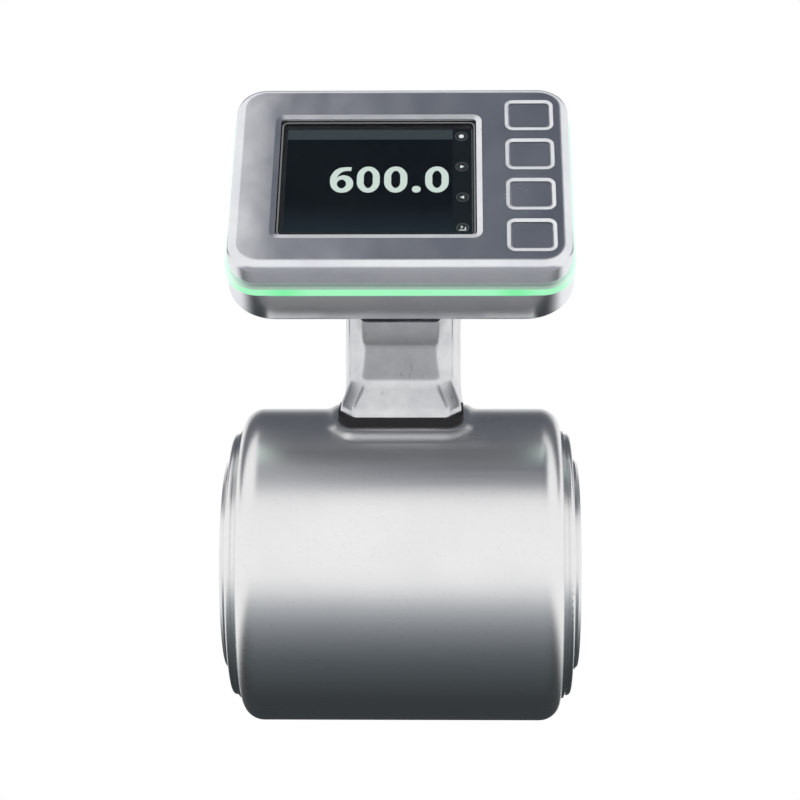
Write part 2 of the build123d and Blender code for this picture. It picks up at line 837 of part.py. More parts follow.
def makeWindowGlass():
    """The window glass behind the cover."""
    return largest(
        plate(
            windowWidth + 2 * glassLap,
            windowHeight + 2 * glassLap,
            windowCornerRadius + 1,
            glassFront,
            glassFront + glassThickness,
            windowX,
            windowY,
        )
    )


def makeDisplayModule():
    """The display module with its shallow active area."""
    centreX = displayX + displayModuleShift
    module = plate(
        displayModuleWidth,
        displayModuleHeight,
        0.8,
        displayFront,
        displayFront + displayThickness,
        centreX,
        displayY,
    )
    return largest(
        module
        - plate(
            displayActiveWidth,
            displayActiveHeight,
            0.2,
            displayFront - 1,
            displayFront + displayInset,
            displayX,
            displayY,
        )
    )


def makeDisplayBracket():
    """The plastic bracket that carries the display on the board."""
    centreX = displayX + displayModuleShift
    width = displayModuleWidth + 2 * displayFit
    height = displayModuleHeight + 2 * displayFit
    front = displayFront + bracketDrop
    seat = displayFront + displayThickness + displayFit
    bracket = plate(
        width + 2 * bracketRim, height + 2 * bracketRim, 1.6, front, seat + bracketThickness, centreX, displayY
    )
    bracket -= plate(width, height, 0.8, front - 1, seat, centreX, displayY)
    bracket -= plate(
        width - 2 * bracketMargin, height - 2 * bracketMargin, 2.0, front, boardDepth, centreX, displayY
    )
    for x in (-(width - bracketMargin) / 2, (width - bracketMargin) / 2):
        for y in (-(height - bracketMargin) / 2, (height - bracketMargin) / 2):
            bracket += headRod(bracketFootDiameter, seat + bracketThickness / 2, boardDepth, centreX + x, displayY + y)
    return largest(bracket)


def makeMainBoard():
    """The circuit board, notched round the screw posts."""
    board = plate(boardWidth, boardHeight, boardCornerRadius, boardDepth, boardBack)
    for x, y in headScrewPlaces:
        board -= headRod(postDiameter + 6 * postFit, 0, headDepth, x, y)
    for x, y in boardScrewPlaces:
        board -= headRod(boardScrewDiameter + 2 * screwHoleFit, 0, headDepth, x, y)
    return largest(board)


def makeBoardScrews():
    """The four screws that hold the board on its standoffs."""
    screws = []
    for x, y in boardScrewPlaces:
        head = headRod(boardScrewHeadDiameter, boardDepth - boardScrewHeadHeight, boardDepth, x, y)
        shank = headRod(boardScrewDiameter, boardDepth - 0.5, boardDepth + boardScrewLength, x, y)
        screws.append(largest(head + shank))
    return screws


def makeSocket(y):
    """A cable socket on the back of the board."""
    return largest(plate(socketWidth, socketDepth, 0.6, boardBack, boardBack + socketHeight, 0, y))


def makeLeds():
    """The lamps round the edge of the board that light the ring."""
    edgeX = boardWidth / 2 - ledInsetX
    edgeY = boardHeight / 2 - ledInsetY
    alongTop = [(x, y) for x in (-ledSpacingX, 0.0, ledSpacingX) for y in (-edgeY, edgeY)]
    atSides = [(x, y) for x in (-edgeX, edgeX) for y in (-ledSpacingY / 2, ledSpacingY / 2)]
    leds = []
    for x, y in alongTop:
        leds.append(plate(ledWidth, ledDepth, 0.2, boardBack, boardBack + ledHeight, x, y))
    for x, y in atSides:
        leds.append(plate(ledDepth, ledWidth, 0.2, boardBack, boardBack + ledHeight, x, y))
    return [largest(led) for led in leds]


def makeKey(row):
    """One key: cap in the recess, flange behind the cover and a stem to its switch."""
    width = keyRecessWidth - 2 * keyBevel - 2 * keyGap
    height = keyRecessHeight - 2 * keyBevel - 2 * keyGap
    radius = keyRecessRadius - keyBevel - keyGap
    flangeFront = coverWall + keyFlangeClearance
    flangeBack = flangeFront + keyFlangeThickness
    cap = plate(width, height, radius, bevelDepth, flangeBack, keyColumnX, row)
    cap = chamfer(cap.faces().sort_by(Axis.Z)[-1].edges(), keyEdge)
    flange = plate(
        width + 2 * keyFlangeMargin,
        height + 2 * keyFlangeMargin,
        radius + keyFlangeMargin,
        flangeFront,
        flangeBack,
        keyColumnX,
        row,
    )
    stem = headRod(keyStemDiameter, flangeBack - 0.3, keyStemDepth, keyColumnX, row)
    return largest(cap + flange + stem)


def makeMembrane():
    """The sealing mat behind the keys, standing on the board."""
    front = keyStemDepth + keyTravel + membraneClearance
    mat = plate(membraneWidth, membraneHeight, 2.0, front, boardDepth, keyColumnX, keyColumnY)
    mat -= plate(
        membraneWidth - 2 * membraneWall,
        membraneHeight - 2 * membraneWall,
        1.0,
        front + membraneThickness,
        boardDepth + 1,
        keyColumnX,
        keyColumnY,
    )
    return largest(mat)


def makeSwitches():
    """The four push switches on the board."""
    switches = []
    top = boardDepth - switchHeight
    for row in keyRows:
        switch = plate(switchSize, switchSize, 0.4, top, boardDepth, keyColumnX, row)
        switch += headRod(plungerDiameter, top - plungerHeight, top + 0.5, keyColumnX, row)
        switches.append(largest(switch))
    return switches


def headPoint(y, depth):
    """A point in the head's middle plane, in the meter's frame."""
    return (
        0.0,
        headCentreY + y * math.cos(tilt) + depth * math.sin(tilt),
        headCentreZ + y * math.sin(tilt) - depth * math.cos(tilt),
    )


def crossingAtY(socketY, y):
    """The point where the line out of a socket, square to the board, reaches a place along Y."""
    start = headPoint(socketY, boardBack + socketHeight)
    run = (y - start[1]) / math.sin(tilt)
    return (0.0, y, start[2] - run * math.cos(tilt))


def makeCable(diameter, points, radii):
    """A round cable along straight runs joined by tangent arcs."""
    path = FilletPolyline(*points, radius=radii)
    start = Plane(origin=path @ 0, z_dir=path % 0)
    return largest(sweep(start * Circle(diameter / 2), path=path))


def makeSignalCable():
    """The cable from the terminal block up to the board."""
    points = [
        (0, 0, terminalTop),
        crossingAtY(signalSocketY, 0.0),
        headPoint(signalSocketY, boardBack + socketHeight),
    ]
    return makeCable(signalCableDiameter, points, signalCableRadius)


def makeSupplyCable():
    """The cable from the connector up to the board."""
    points = [
        (0, neckBack - neckWallFront - connectorInnerEnd - 1.2, connectorZ),
        (0, supplyCableY, connectorZ),
        crossingAtY(supplySocketY, supplyCableY),
        headPoint(supplySocketY, boardBack + socketHeight),
    ]
    return makeCable(supplyCableDiameter, points, [supplyLowerRadius, supplyUpperRadius])


def onConnector(shape):
    """Moves a shape drawn along Z from the neck's back wall to the connector's axis."""
    return Pos(0, neckBack, connectorZ) * Rot(-90, 0, 0) * shape


def makeConnectorShell():
    """The connector's metal shell: spigot through the wall, hexagon and threaded sleeve."""
    hexStart = connectorSealThickness
    inner = -neckWallFront - connectorInnerEnd - 1.0
    shell = hexBar(connectorHexAcrossFlats, hexStart, hexStart + connectorHexThickness)
    shell += upright(connectorThreadDiameter, hexStart, connectorReach)
    shell += upright(connectorSpigotDiameter, inner, hexStart + 1)
    shell -= upright(connectorInsertDiameter + 2 * stackFit, inner - 1, connectorReach + 1)
    shell = chamfer(shell.edges().filter_by(GeomType.CIRCLE).sort_by(Axis.Z)[-2:], 0.3)
    return largest(onConnector(shell))


def makeConnectorInsert():
    """The insulating insert, pierced by the contacts."""
    inner = -neckWallFront - connectorInnerEnd - 1.0
    insert = upright(connectorInsertDiameter, inner, connectorReach - 0.4)
    for x, y in contactPlaces():
        insert -= upright(contactDiameter + 2 * stackFit, inner - 1, connectorReach + 1, x, y)
    return largest(onConnector(insert))


def contactPlaces():
    """Four contacts on a circle and one in the middle."""
    ring = contactCount - 1
    angles = [math.radians(45 + 360 * index / ring) for index in range(ring)]
    radius = contactCircleDiameter / 2
    return [(0.0, 0.0)] + [(radius * math.cos(a), radius * math.sin(a)) for a in angles]


def makeContacts():
    """The contacts, set back a little in the insert."""
    inner = -neckWallFront - connectorInnerEnd - 1.0
    return [
        largest(onConnector(upright(contactDiameter, inner, connectorReach - contactRecess, x, y)))
        for x, y in contactPlaces()
    ]


def makeConnectorSeal():
    """The flat seal under the connector's hexagon."""
    seal = upright(connectorSealDiameter, 0, connectorSealThickness)
    return largest(onConnector(seal - upright(connectorSpigotDiameter + 2 * stackFit, -1, 2)))


def makeConnectorNut():
    """The nut that clamps the connector from inside the neck."""
    nut = hexBar(connectorNutAcrossFlats, -neckWallBack - connectorNutThickness, -neckWallBack)
    return largest(onConnector(nut - upright(connectorSpigotDiameter + 2 * stackFit, -20, 1)))


def makeProcessor():
    """The processor on the back of the board."""
    return largest(plate(chipSize, chipSize, 0.5, boardBack, boardBack + chipHeight, chipX, chipY))


def makePowerModule():
    """The power supply block on the back of the board."""
    return largest(
        plate(
            powerModuleWidth,
            powerModuleDepth,
            1.0,
            boardBack,
            boardBack + powerModuleHeight,
            powerModuleX,
            powerModuleY,
        )
    )


write("measuring_tube", makeMeasuringTube())
write("liner", makeLiner())
write("seal_left", makeSeal(-1))
write("seal_right", makeSeal(1))
write("electrode_front", largest(frontPlace * makeElectrode()))
write("electrode_rear", largest(rearPlace * makeElectrode()))
write("level_electrode", largest(levelPlace * makeElectrode()))
write("temperature_probe", largest(probePlace * makeProbe()))
write("electrode_insulators", *[largest(place * makeInsulator()) for place in sensorPlaces])
write("electrode_nuts", *[largest(place * makeElectrodeNut()) for place in sensorPlaces])
write("upper_pole", makePole())
write("lower_pole", largest(Rot(180, 0, 0) * makePole()))
write("upper_coil", makeCoil())
write("lower_coil", largest(Rot(180, 0, 0) * makeCoil()))
write("return_yoke", makeYoke())
write("terminal_block", makeTerminalBlock())
write("body_casing", makeCasing())

write("neck_gasket", makeNeckGasket())
write("neck", makeNeck())
write("neck_screws", *makeNeckScrews())
write("signal_cable", makeSignalCable())
write("supply_cable", makeSupplyCable())
write("connector_shell", makeConnectorShell())
write("connector_insert", makeConnectorInsert())
write("connector_contacts", *makeContacts())
write("connector_seal", makeConnectorSeal())
write("connector_nut", makeConnectorNut())

headNodes = {
    "front_cover": [makeFrontCover()],
    "cover_seal": [makeCoverSeal()],
    "light_ring": [makeLightRing()],
    "rear_housing": [makeRearHousing()],
    "head_gasket": [makeHeadGasket()],
    "head_mount_screws": makeMountScrews(),
    "head_screws": makeHeadScrews(),
    "window_seal": [makeWindowSeal()],
    "window_glass": [makeWindowGlass()],
    "display_module": [makeDisplayModule()],
    "display_bracket": [makeDisplayBracket()],
    "main_board": [makeMainBoard()],
    "board_screws": makeBoardScrews(),
    "processor_chip": [makeProcessor()],
    "power_module": [makePowerModule()],
    "cable_socket": [makeSocket(signalSocketY)],
    "supply_socket": [makeSocket(supplySocketY)],
    "status_leds": makeLeds(),
    "key_membrane": [makeMembrane()],
    "key_switches": makeSwitches(),
}
for index, row in enumerate(keyRows):
    headNodes["key_" + str(index + 1)] = [makeKey(row)]
for name, solids in headNodes.items():
    write(name, *[inHead(solid) for solid in solids])
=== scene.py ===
import json
import math

import bmesh
import bpy
from mathutils import Matrix, Vector


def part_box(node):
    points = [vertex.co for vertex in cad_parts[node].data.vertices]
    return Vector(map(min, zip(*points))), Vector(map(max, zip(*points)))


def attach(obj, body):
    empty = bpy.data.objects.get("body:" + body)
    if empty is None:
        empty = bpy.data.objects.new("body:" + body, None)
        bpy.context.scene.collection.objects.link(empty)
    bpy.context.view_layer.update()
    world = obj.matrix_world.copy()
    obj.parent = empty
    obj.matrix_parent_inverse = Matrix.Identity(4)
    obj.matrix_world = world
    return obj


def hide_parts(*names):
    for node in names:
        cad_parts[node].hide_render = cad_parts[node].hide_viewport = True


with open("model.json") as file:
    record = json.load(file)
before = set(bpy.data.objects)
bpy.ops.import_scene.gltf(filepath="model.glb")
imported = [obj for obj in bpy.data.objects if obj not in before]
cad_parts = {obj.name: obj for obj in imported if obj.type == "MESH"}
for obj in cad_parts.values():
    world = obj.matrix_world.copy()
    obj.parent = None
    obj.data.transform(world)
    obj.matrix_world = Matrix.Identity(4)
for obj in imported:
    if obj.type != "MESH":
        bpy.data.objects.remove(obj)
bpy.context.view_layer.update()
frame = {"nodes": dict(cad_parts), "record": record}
nodes = frame["nodes"]
meter = "meter"
millimetre = 0.001
print("frame loaded:", len(nodes), "nodes")


# the camera stands level, a little to the right of the meter, and looks slightly to the left
cameraView = {
    "place": (0.01486, -0.7473, 0.05128),
    "turnDegrees": 1.19,
    "lens": 107.4,
    "sensor": 36.0,
}


def makeCamera(view):
    data = bpy.data.cameras.new("camera")
    data.lens = view["lens"]
    data.sensor_width = view["sensor"]
    data.clip_start = 0.01
    camera = bpy.data.objects.new("camera", data)
    camera.location = view["place"]
    camera.rotation_euler = (math.radians(90), 0, math.radians(view["turnDegrees"]))
    bpy.context.scene.collection.objects.link(camera)
    bpy.context.scene.camera = camera


# the head's own plane: x across, y up the slope, z out of the front face
headPlane = {"centre": (0, -19.5, 120.4), "tiltDegrees": 51.6}


def headMatrix():
    tilt = math.radians(headPlane["tiltDegrees"])
    across = Vector((1, 0, 0))
    up = Vector((0, math.cos(tilt), math.sin(tilt)))
    out = Vector((0, -math.sin(tilt), math.cos(tilt)))
    turn = Matrix((across, up, out)).transposed().to_4x4()
    return Matrix.Translation(Vector(headPlane["centre"]) * millimetre) @ turn


# shader maths: a wrapped socket adds its Math nodes as it is used in an expression
class Wire:
    def __init__(self, kit, socket):
        self.kit = kit
        self.socket = socket

    def mathsWith(self, operation, first, second):
        return self.kit.node("ShaderNodeMath", {"operation": operation}, [first, second])

    def __add__(self, other):
        return self.mathsWith("ADD", self, other)

    def __radd__(self, other):
        return self.mathsWith("ADD", other, self)

    def __sub__(self, other):
        return self.mathsWith("SUBTRACT", self, other)

    def __rsub__(self, other):
        return self.mathsWith("SUBTRACT", other, self)

    def __mul__(self, other):
        return self.mathsWith("MULTIPLY", self, other)

    def __rmul__(self, other):
        return self.mathsWith("MULTIPLY", other, self)

    def __truediv__(self, other):
        return self.mathsWith("DIVIDE", self, other)


class NodeKit:
    def __init__(self, tree):
        self.tree = tree

    def node(self, kind, settings=None, values=None, output=0):
        made = self.tree.nodes.new(kind)
        for key, value in (settings or {}).items():
            if key == "stops":
                while len(made.color_ramp.elements) < len(value):
                    made.color_ramp.elements.new(0.5)
                for stop, (place, colour) in zip(made.color_ramp.elements, value):
                    stop.position = place
                    stop.color = colour
            else:
                setattr(made, key, value)
        pairs = values.items() if isinstance(values, dict) else enumerate(values or [])
        for key, value in pairs:
            self.feed(made.inputs[key], value)
        return Wire(self, made.outputs[output])

    def feed(self, socket, value):
        if isinstance(value, Wire):
            self.tree.links.new(value.socket, socket)
        else:
            socket.default_value = value

    def place(self):
        return self.node("ShaderNodeTexCoord", output="Object")

    def axes(self, place=None):
        split = self.node("ShaderNodeSeparateXYZ", values=[place or self.place()])
        return [Wire(self, out) for out in split.socket.node.outputs]

    def noise(self, scale, detail=3.0, roughness=0.5, stretch=(1, 1, 1)):
        spread = self.node("ShaderNodeMapping", values={"Vector": self.place(), "Scale": stretch})
        return self.node(
            "ShaderNodeTexNoise",
            values={"Vector": spread, "Scale": scale, "Detail": detail, "Roughness": roughness},
        )

    def step(self, value, low, high):
        return self.node(
            "ShaderNodeMapRange",
            {"interpolation_type": "SMOOTHSTEP"},
            {"Value": value, "From Min": low, "From Max": high},
        )

    def blend(self, share, first, second):
        mixer = self.node("ShaderNodeMix", {"data_type": "RGBA"}, {"Factor": share})
        made = mixer.socket.node
        self.feed(made.inputs[6], first)
        self.feed(made.inputs[7], second)
        return Wire(self, made.outputs[2])

    def bump(self, height, strength, distance):
        return self.node(
            "ShaderNodeBump",
            values={"Height": height, "Strength": strength, "Distance": distance},
        )


class Finish(NodeKit):
    def __init__(self, name):
        self.material = bpy.data.materials.new(name)
        self.material.use_nodes = True
        super().__init__(self.material.node_tree)
        self.shader = self.tree.nodes["Principled BSDF"]

    def set(self, **sockets):
        for key, value in sockets.items():
            self.feed(self.shader.inputs[key.replace("_", " ")], value)
        return self


# steel of the drawn casing and the turned ends
brushedSteelLook = {
    "colour": (0.84, 0.838, 0.835, 1),
    "dull": (0.79, 0.792, 0.797, 1),
    "fleck": (0.72, 0.722, 0.73, 1),
    "roughness": 0.29,
    "streakRoughness": 0.07,
    "streakScale": 900,
    "cloudScale": 38,
    "speckScale": 2600,
    "fleckScale": 950,
}


def brushedSteel(name, stretch, look=brushedSteelLook):
    finish = Finish(name)
    streaks = finish.noise(look["streakScale"], 4.0, 0.6, stretch)
    clouds = finish.noise(look["cloudScale"], 3.0, 0.55)
    specks = finish.noise(look["speckScale"], 2.0, 0.5)
    worn = finish.step(clouds, 0.35, 0.7)
    flecks = finish.step(finish.noise(look["fleckScale"], 2.0, 0.6), 0.60, 0.72)
    colour = finish.blend(worn * 0.6 + streaks * 0.3, look["colour"], look["dull"])
    finish.set(
        Base_Color=finish.blend(flecks * 0.5, colour, look["fleck"]),
        Metallic=1.0,
        Roughness=look["roughness"] + (streaks - 0.5) * look["streakRoughness"] + (clouds - 0.5) * 0.06,
        Normal=finish.bump(streaks * 0.7 + specks * 0.3, 0.18, 0.00004),
    )
    return finish.material


# cast neck: lightly blasted, cloudy, with a few handling marks
castNeckLook = {
    "colour": (0.72, 0.725, 0.735, 1),
    "dull": (0.60, 0.61, 0.63, 1),
    "scratch": (0.42, 0.43, 0.44, 1),
    "roughness": 0.30,
    "cloudScale": 120,
    "grainScale": 1500,
    "markScale": 420,
}


def castNeck(name, look=castNeckLook):
    finish = Finish(name)
    clouds = finish.noise(look["cloudScale"], 5.0, 0.65)
    grain = finish.noise(look["grainScale"], 3.0, 0.6)
    marks = finish.step(finish.noise(look["markScale"], 2.0, 0.5, (1, 1, 0.35)), 0.66, 0.72)
    colour = finish.blend(finish.step(clouds, 0.3, 0.7), look["colour"], look["dull"])
    colour = finish.blend(marks * 0.5, colour, look["scratch"])
    finish.set(
        Base_Color=colour,
        Metallic=1.0,
        Roughness=look["roughness"] + (clouds - 0.5) * 0.12 + (grain - 0.5) * 0.06,
        Normal=finish.bump(clouds * 0.5 + grain * 0.12, 0.35, 0.0001),
    )
    return finish.material


# steel of the display head, keys and screws, a little duller
satinSteelLook = {
    "colour": (0.82, 0.83, 0.855, 1),
    "shade": (0.72, 0.735, 0.775, 1),
    "pit": (0.35, 0.36, 0.38, 1),
    "roughness": 0.25,
    "waviness": 0.22,
    "cloudScale": 55,
    "waveScale": 70,
    "grainScale": 1900,
    "pitScale": 620,
}


# the drawn cover: its face rolls off gently before it meets the rounded outline
coverCrown = {"half": (51.8, 37.7), "reach": (13.0, 8.0), "drop": (0.42, 0.16)}


def crownHeight(finish, crown):
    x, y, z = finish.axes()
    height = 0.0
    spans = zip((x, headUp(finish, y, z)), crown["half"], crown["reach"], crown["drop"])
    for value, half, reach, drop in spans:
        size = finish.node("ShaderNodeMath", {"operation": "ABSOLUTE"}, [value])
        start, end = (half - reach) * millimetre, half * millimetre
        near = finish.node("ShaderNodeMapRange", values={"Value": size, "From Min": start, "From Max": end})
        height = height - near * near * drop * millimetre
    return height


def headUp(finish, y, z):
    tilt = math.radians(headPlane["tiltDegrees"])
    centre = [part * millimetre for part in headPlane["centre"]]
    return (y - centre[1]) * math.cos(tilt) + (z - centre[2]) * math.sin(tilt)


def satinSteel(name, look=satinSteelLook, crown=None):
    finish = Finish(name)
    clouds = finish.noise(look["cloudScale"], 4.0, 0.6)
    waves = finish.noise(look["waveScale"], 1.5, 0.4)
    grain = finish.noise(look["grainScale"], 3.0, 0.6)
    pits = finish.step(finish.noise(look["pitScale"], 2.0, 0.5), 0.72, 0.76)
    colour = finish.blend(finish.step(clouds, 0.3, 0.75), look["colour"], look["shade"])
    rollOff = crownHeight(finish, crown) if crown else 0.0
    finish.set(
        Base_Color=finish.blend(pits * 0.35, colour, look["pit"]),
        Metallic=1.0,
        Roughness=look["roughness"] + (clouds - 0.5) * 0.1 + (grain - 0.5) * 0.04,
        Normal=finish.bump(waves * look["waviness"] * millimetre + rollOff, 1.0, 1.0),
    )
    return finish.material


def blackRubber(name):
    finish = Finish(name)
    grain = finish.noise(2200, 3.0, 0.6)
    finish.set(
        Base_Color=finish.blend(grain, (0.012, 0.012, 0.013, 1), (0.024, 0.024, 0.026, 1)),
        Roughness=0.42 + grain * 0.18,
        Specular_IOR_Level=0.15,
        Normal=finish.bump(grain, 0.2, 0.00005),
    )
    return finish.material


# the ring glows round its edge; its front lip stays clear, and it pales away from the lamps below
ringLightLook = {
    "glow": (0.33, 0.93, 0.50, 1),
    "deep": (0.13, 0.86, 0.30, 1),
    "pale": (0.62, 0.92, 0.75, 1),
    "clear": (0.30, 0.36, 0.33, 1),
    "clearGlow": (0.10, 0.17, 0.13, 1),
    "lampX": 0.0345,
    "cornerX": 0.044,
    "lipDepth": 0.0093,
    "strength": 0.86,
}


def ringLight(name, look=ringLightLook):
    finish = Finish(name)
    x, y, z = finish.axes()
    tilt = math.radians(headPlane["tiltDegrees"])
    centre = [part * millimetre for part in headPlane["centre"]]
    depth = (y - centre[1]) * math.sin(tilt) - (z - centre[2]) * math.cos(tilt)
    up = headUp(finish, y, z)
    side = finish.node("ShaderNodeMath", {"operation": "ABSOLUTE"}, [x])
    away = finish.node("ShaderNodeMath", {"operation": "ABSOLUTE"}, [side - look["lampX"]])
    near = (1.0 - finish.step(away, 0.0, 0.008)) * (1.0 - finish.step(up, -0.030, -0.020))
    pale = finish.step(side, look["cornerX"], look["cornerX"] + 0.009)
    lit = finish.step(depth, look["lipDepth"] - 0.0002, look["lipDepth"] + 0.0003)
    lit = lit * (1.0 - pale * finish.step(up, -0.036, -0.016) * 0.85)
    cloud = finish.noise(160, 2.0, 0.5)
    glow = finish.blend(near * 0.85, look["glow"], look["deep"])
    glow = finish.blend(pale * 0.8, glow, look["pale"])
    plastic = finish.blend(cloud, (0.10, 0.20, 0.14, 1), (0.13, 0.23, 0.17, 1))
    finish.set(
        Base_Color=finish.blend(lit, look["clear"], plastic),
        Emission_Color=finish.blend(lit, finish.blend(pale, look["clearGlow"], look["pale"]), glow),
        Emission_Strength=look["strength"],
        Roughness=0.28 + cloud * 0.1,
        Coat_Weight=0.4,
    )
    return finish.material


def windowGlass(name):
    finish = Finish(name)
    smear = finish.noise(90, 4.0, 0.6)
    finish.set(
        Base_Color=(0.93, 0.96, 0.97, 1),
        Transmission_Weight=1.0,
        IOR=1.27,
        Roughness=finish.step(smear, 0.5, 0.9) * 0.03,
    )
    return finish.material


def plainPlastic(name, dark, light, roughness, scale=900):
    finish = Finish(name)
    grain = finish.noise(scale, 3.0, 0.6)
    finish.set(
        Base_Color=finish.blend(grain, dark, light),
        Roughness=roughness + (grain - 0.5) * 0.12,
        Normal=finish.bump(grain, 0.2, 0.00005),
    )
    return finish.material


def warmMetal(name, dark, light, roughness):
    finish = Finish(name)
    grain = finish.noise(1200, 3.0, 0.6, (1, 1, 0.1))
    finish.set(
        Base_Color=finish.blend(grain, dark, light),
        Metallic=1.0,
        Roughness=roughness + (grain - 0.5) * 0.15,
    )
    return finish.material


def circuitBoard(name):
    finish = Finish(name)
    traces = finish.noise(700, 1.0, 0.3, (1, 0.2, 0.2))
    copper = finish.step(traces, 0.5, 0.55)
    finish.set(
        Base_Color=finish.blend(copper, (0.01, 0.11, 0.04, 1), (0.02, 0.2, 0.08, 1)),
        Roughness=0.45 + traces * 0.1,
    )
    return finish.material


# the lit picture on the display, in millimetres from the middle of the head's face
screenLook = {
    "left": -35.3,
    "right": 22.3,
    "bottom": -22.1,
    "top": 21.1,
    "depth": 2.83,
    "barBottom": 16.85,
    "columnLeft": 15.8,
    "night": (0.0012, 0.0034, 0.0048, 1),
    "column": (0.0085, 0.0125, 0.0140, 1),
    "bar": (0.042, 0.055, 0.060, 1),
    "dusk": (0.021, 0.033, 0.043, 1),
}


def litPicture(name, look=screenLook):
    finish = Finish(name)
    x, y, z = finish.axes()
    up = headUp(finish, y, z)
    edge = 0.00006

    def after(value, place):
        return finish.step(value, place * millimetre - edge, place * millimetre + edge)

    def fade(value, start, end):
        return finish.step(value, start * millimetre, end * millimetre)

    inColumn = after(x, look["columnLeft"])
    inBar = after(up, look["barBottom"]) * (1.0 - inColumn)
    low = fade(0.0 - up, 9.0, 24.0)
    colour = finish.blend(low * 0.55, look["night"], look["dusk"])
    colour = finish.blend(inColumn * 0.8, colour, look["column"])
    colour = finish.blend(inBar, colour, look["bar"])
    finish.set(
        Base_Color=(0.004, 0.004, 0.005, 1),
        Roughness=0.35,
        Specular_IOR_Level=0.1,
        Emission_Color=colour,
        Emission_Strength=1.0,
    )
    return finish.material


def litMark(name, colour, strength):
    finish = Finish(name)
    grain = finish.noise(900, 2.0, 0.5)
    finish.set(
        Base_Color=(0.02, 0.02, 0.02, 1),
        Roughness=0.5,
        Emission_Color=finish.blend(grain * 0.35, colour, [part * 0.85 for part in colour[:3]] + [1]),
        Emission_Strength=strength,
    )
    return finish.material


looks = {
    "casing": brushedSteel("casing_steel", (0.035, 1, 1)),
    "turned": brushedSteel("turned_steel", (1, 0.05, 0.05)),
    "neck": castNeck("neck_steel"),
    "head": satinSteel("head_steel"),
    "cover": satinSteel("cover_steel", crown=coverCrown),
    "rubber": blackRubber("black_rubber"),
    "ring": ringLight("ring_light"),
    "glass": windowGlass("window_glass"),
    "liner": plainPlastic("pale_liner", (0.7, 0.7, 0.66, 1), (0.8, 0.8, 0.76, 1), 0.5),
    "black": plainPlastic("black_plastic", (0.008, 0.008, 0.009, 1), (0.02, 0.02, 0.022, 1), 0.4),
    "cable": plainPlastic("cable_sheath", (0.02, 0.02, 0.022, 1), (0.04, 0.04, 0.042, 1), 0.5),
    "electrode": warmMetal("electrode_alloy", (0.6, 0.58, 0.55, 1), (0.75, 0.73, 0.7, 1), 0.2),
    "copper": warmMetal("copper_winding", (0.45, 0.17, 0.07, 1), (0.72, 0.33, 0.16, 1), 0.35),
    "iron": warmMetal("soft_iron", (0.14, 0.14, 0.15, 1), (0.24, 0.24, 0.25, 1), 0.5),
    "board": circuitBoard("circuit_board"),
    "contact": warmMetal("gold_contact", (0.75, 0.5, 0.2, 1), (0.9, 0.66, 0.3, 1), 0.22),
}

# which finish each piece of the frame wears; what isn't named here takes it from its slot
slotLooks = {
    "brushed_steel": "casing",
    "satin_steel": "head",
    "black_rubber": "rubber",
    "ring_light": "ring",
    "window": "glass",
    "display": "black",
    "liner": "liner",
    "electrode": "electrode",
    "copper": "copper",
    "iron": "iron",
    "board": "board",
    "black_plastic": "black",
    "cable": "cable",
    "contact": "contact",
}
nodeLooks = {"measuring_tube": "turned", "neck": "neck", "front_cover": "cover"}


def dressFrame():
    slots = {part["node"]: part["material_slot"] for part in frame["record"]["subparts"]}
    for name, piece in nodes.items():
        look = nodeLooks.get(name, slotLooks[slots[name]])
        for index in range(len(piece.material_slots)):
            piece.material_slots[index].material = looks[look]


def addPiece(name, mesh, look, body=meter, place=None):
    piece = bpy.data.objects.new(name, mesh)
    bpy.context.scene.collection.objects.link(piece)
    if place is not None:
        mesh.transform(place)
    mesh.materials.clear()
    mesh.materials.append(look)
    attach(piece, body)
    return piece


def meshFrom(work, name):
    mesh = bpy.data.meshes.new(name)
    work.to_mesh(mesh)
    work.free()
    return mesh


# the casing: a drawn shell whose saddle seat swells softly out of the cylinder
casingLook = {
    "straight": 42.6,
    "edgeRadius": 6.4,
    "wall": 2.0,
    "endLip": 0.5,
    "steps": 384,
    "seatHeight": 1.5,
    "seatHalf": (23.0, 29.5),
    "seatCorner": 9.0,
    "seatRun": (-3.6, 0.3),
}


def smoothShare(value, low, high):
    share = min(1.0, max(0.0, (value - low) / (high - low)))
    return share * share * (3 - 2 * share)


def seatDistance(x, y, look):
    across = abs(x) - look["seatHalf"][0] + look["seatCorner"]
    along = abs(y) - look["seatHalf"][1] + look["seatCorner"]
    return math.hypot(max(across, 0), max(along, 0)) + min(max(across, along), 0) - look["seatCorner"]


def arc(x, y, radius, start, end, count):
    angles = [math.radians(start + (end - start) * step / count) for step in range(count + 1)]
    return [(x + radius * math.sin(angle), y + radius * math.cos(angle)) for angle in angles]


